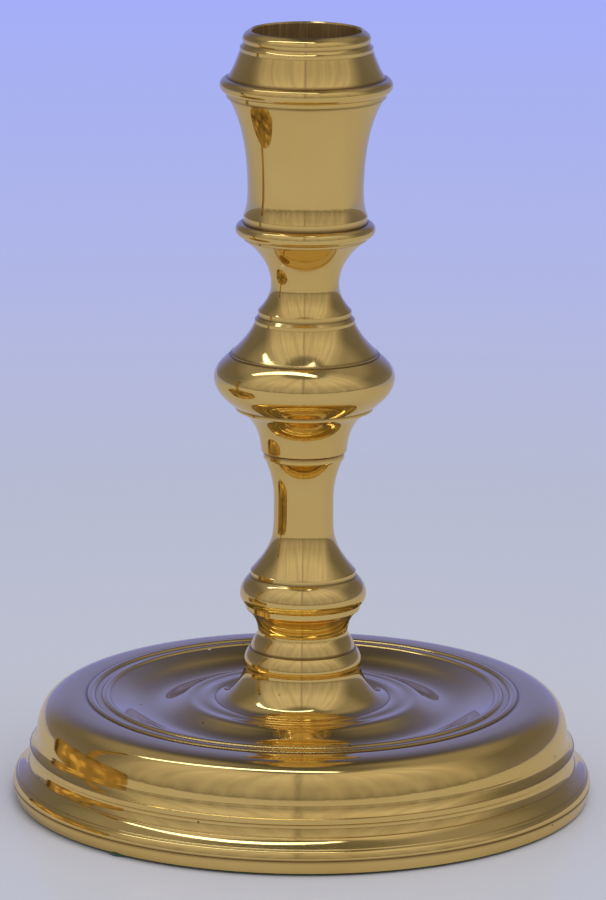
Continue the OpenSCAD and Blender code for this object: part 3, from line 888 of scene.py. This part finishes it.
def screens(tree, azimuth, elevation):
    """The cloth in front, the darker gap at each side and the blue backdrop behind."""
    edge = add(tree, "CombineXYZ", {"X": azimuth}).outputs[0]
    ragged = {"Vector": edge, "Scale": 0.22, "Detail": 3.0, "Roughness": 0.7}
    tatter = add(tree, "TexNoise", ragged).outputs[0]
    hem = calc(tree, "ADD", elevation, eased_step(tree, tatter, 0.3, 0.7, -2.0, 2.0))
    front = by_elevation(
        tree,
        hem,
        [
            (-10, warm_grey(0.48)),
            (-1, warm_grey(0.46)),
            (0, warm_grey(0.22)),
            (2, warm_grey(0.27)),
            (5, warm_grey(0.34)),
            (12, warm_grey(0.40)),
            (25, warm_grey(0.43)),
            (36, warm_grey(0.50)),
            (50, warm_grey(0.60)),
            (69, warm_grey(0.56)),
            (74, warm_grey(0.22)),
            (90, warm_grey(0.13)),
        ],
    )
    side = by_elevation(
        tree,
        elevation,
        [
            (-10, (0.28, 0.27, 0.34)),
            (4, (0.20, 0.19, 0.23)),
            (18, (0.17, 0.16, 0.18)),
            (32, (0.17, 0.16, 0.16)),
            (46, (0.30, 0.28, 0.27)),
            (64, (0.32, 0.30, 0.29)),
            (76, (0.18, 0.17, 0.16)),
            (90, warm_grey(0.13)),
        ],
    )
    back = by_elevation(
        tree,
        elevation,
        [
            (-10, (0.31, 0.35, 0.85)),
            (2, (0.26, 0.30, 0.82)),
            (15, (0.22, 0.26, 0.74)),
            (25, (0.15, 0.17, 0.48)),
            (36, (0.11, 0.12, 0.30)),
            (48, (0.08, 0.08, 0.14)),
            (62, (0.07, 0.07, 0.07)),
            (90, warm_grey(0.13)),
        ],
    )
    around = calc(tree, "ABSOLUTE", azimuth)
    upright = calc(tree, "MULTIPLY", elevation, 0.12)
    folds = add(tree, "CombineXYZ", {"X": azimuth, "Y": upright}).outputs[0]
    pleats = add(tree, "TexNoise", {"Vector": folds, "Scale": 0.11, "Detail": 2.0}).outputs[0]
    pleated = eased_step(tree, pleats, 0.3, 0.7, 0.86, 1.12)
    slit_half = eased_step(tree, elevation, 20.0, 65.0, 1.3, 3.6)
    slit_azimuth = -1.8
    off_slit = calc(tree, "ABSOLUTE", calc(tree, "SUBTRACT", azimuth, slit_azimuth))
    slit = eased_step(tree, calc(tree, "DIVIDE", off_slit, slit_half), 0.6, 1.2, 0.74, 1.0)
    shade = calc(tree, "MULTIPLY", pleated, slit)
    level = add(tree, "CombineColor", {0: shade, 1: shade, 2: shade}).outputs[0]
    shaded = add(tree, "Mix", {0: 1.0, 6: front, 7: level}, data_type="RGBA", blend_type="MULTIPLY")
    cloth = shaded.outputs[2]
    wrap = blend(tree, eased_step(tree, around, 72.0, 106.0), cloth, side)
    return blend(tree, eased_step(tree, around, 140.0, 168.0), wrap, back)


def strip_light(tree, x, toward, z):
    """How much of the slanting strip light overhead a ray meets, from 0 to 1.

    Its places are those on a level sheet one unit above the brass.
    """
    slant = 0.36
    front_offset = 0.10
    half_w = 0.03
    blurred_half_w = 0.06
    left_x = -0.9
    right_x = 0.20
    blur = 0.08
    high = calc(tree, "MAXIMUM", z, 0.05)
    across = calc(tree, "DIVIDE", x, high)
    ahead = calc(tree, "DIVIDE", toward, high)
    middle = calc(tree, "MULTIPLY_ADD", across, slant, front_offset)
    off = calc(tree, "ABSOLUTE", calc(tree, "SUBTRACT", ahead, middle))
    band = eased_step(tree, off, half_w, blurred_half_w, 1.0, 0.0)
    left_end = eased_step(tree, across, left_x, left_x + blur)
    right_end = eased_step(tree, across, right_x - blur, right_x, 1.0, 0.0)
    above = eased_step(tree, z, 0.1, 0.2)
    ends = calc(tree, "MULTIPLY", left_end, right_end)
    return calc(tree, "MULTIPLY", calc(tree, "MULTIPLY", band, above), ends)


def light_world():
    """Plain white light for everything, and the studio's screens and strip light in reflections."""
    world = bpy.data.worlds.new("studio")
    bpy.context.scene.world = world
    world.use_nodes = True
    tree = world.node_tree
    tree.nodes.clear()
    azimuth, elevation, x, toward, z = bearings(tree)
    reflected = screens(tree, azimuth, elevation)
    reflected = blend(tree, strip_light(tree, x, toward, z), reflected, (3.4, 3.7, 4.1, 1))
    path = add(tree, "LightPath")
    plain = (0.74, 0.74, 0.75, 1)
    far_floor = (0.37, 0.425, 0.94, 1)
    colour = blend(tree, path.outputs["Is Glossy Ray"], plain, reflected)
    colour = blend(tree, path.outputs["Is Camera Ray"], colour, far_floor)
    lit = add(tree, "Background", {"Color": colour, "Strength": 1.0}).outputs[0]
    add(tree, "OutputWorld", {"Surface": lit})


def hang_lamp():
    """A wide soft lamp overhead on the right, for the shadow, as even as a sun all over the floor."""
    lamp = bpy.data.lights.new("soft_lamp", "SUN")
    lamp.angle = math.radians(40)
    lamp.energy = 0.9
    hung = bpy.data.objects.new("soft_lamp", lamp)
    hung.location = (0.55, -0.25, 1.6)
    aim = Vector((0, 0, 0)) - hung.location
    hung.rotation_euler = aim.to_track_quat("-Z", "Y").to_euler()
    hung.visible_glossy = False
    bpy.context.scene.collection.objects.link(hung)


def place_glowing_reflection_form():
    """A low glowing form out of view at the left, painting a warm reflection in the polished brass only."""
    card = bpy.data.materials.new("glowing_reflection_finish")
    card.use_nodes = True
    tree = card.node_tree
    tree.nodes.clear()
    place = add(tree, "TexCoord").outputs["Object"]
    reflection_mottle = add(tree, "TexNoise", {"Vector": place, "Scale": 45.0, "Detail": 2.0}).outputs[0]
    # Painted reflection: glowing browns and golds for the brass to mirror, with no lamp behind them.
    colour = ramp(
        tree,
        reflection_mottle,
        [
            (0.3, (0.07, 0.045, 0.015)),
            (0.5, (0.26, 0.18, 0.07)),
            (0.62, (0.34, 0.21, 0.07)),
            (0.7, (0.66, 0.45, 0.16)),
        ],
    )
    glow = add(tree, "Emission", {"Color": colour, "Strength": 1.0}).outputs[0]
    add(tree, "OutputMaterial", {"Surface": glow})
    outline = [(0, 150), (9, 150, -90), (8, 48, -90), (22, 34, -20)]
    outline += [(66, 28, -30), (70, 4, -90), (70, 0), (0, 0)]
    form = turned("glowing_reflection_form", outline, 0, [card], 48)
    form.location = (-0.178, 0.0, 0)
    form.visible_camera = False
    form.visible_diffuse = False
    form.visible_shadow = False


# Everything in its place
take_camera()
effects = {made.name: made for made in (lathe_lines(), fine_scratches(), soft_patches(), specks())}
brass = polished_brass(effects)
make_socket(brass, dull_bore_brass(effects))
make_knop(brass)
make_column(brass)
make_spool(brass)
make_base(brass)
make_felt(green_felt(effects))

steel = zinc_steel(effects)
board = grey_board(effects)
for node, finish in {
    "tie_rod": steel,
    "flat_washer": steel,
    "spring_washer": steel,
    "clamp_nut": steel,
    "backing_card": board,
}.items():
    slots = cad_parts[node].material_slots
    for slot in slots:
        slot.material = finish

lay_floor()
light_world()
hang_lamp()
place_glowing_reflection_form()

bpy.context.view_layer.update()
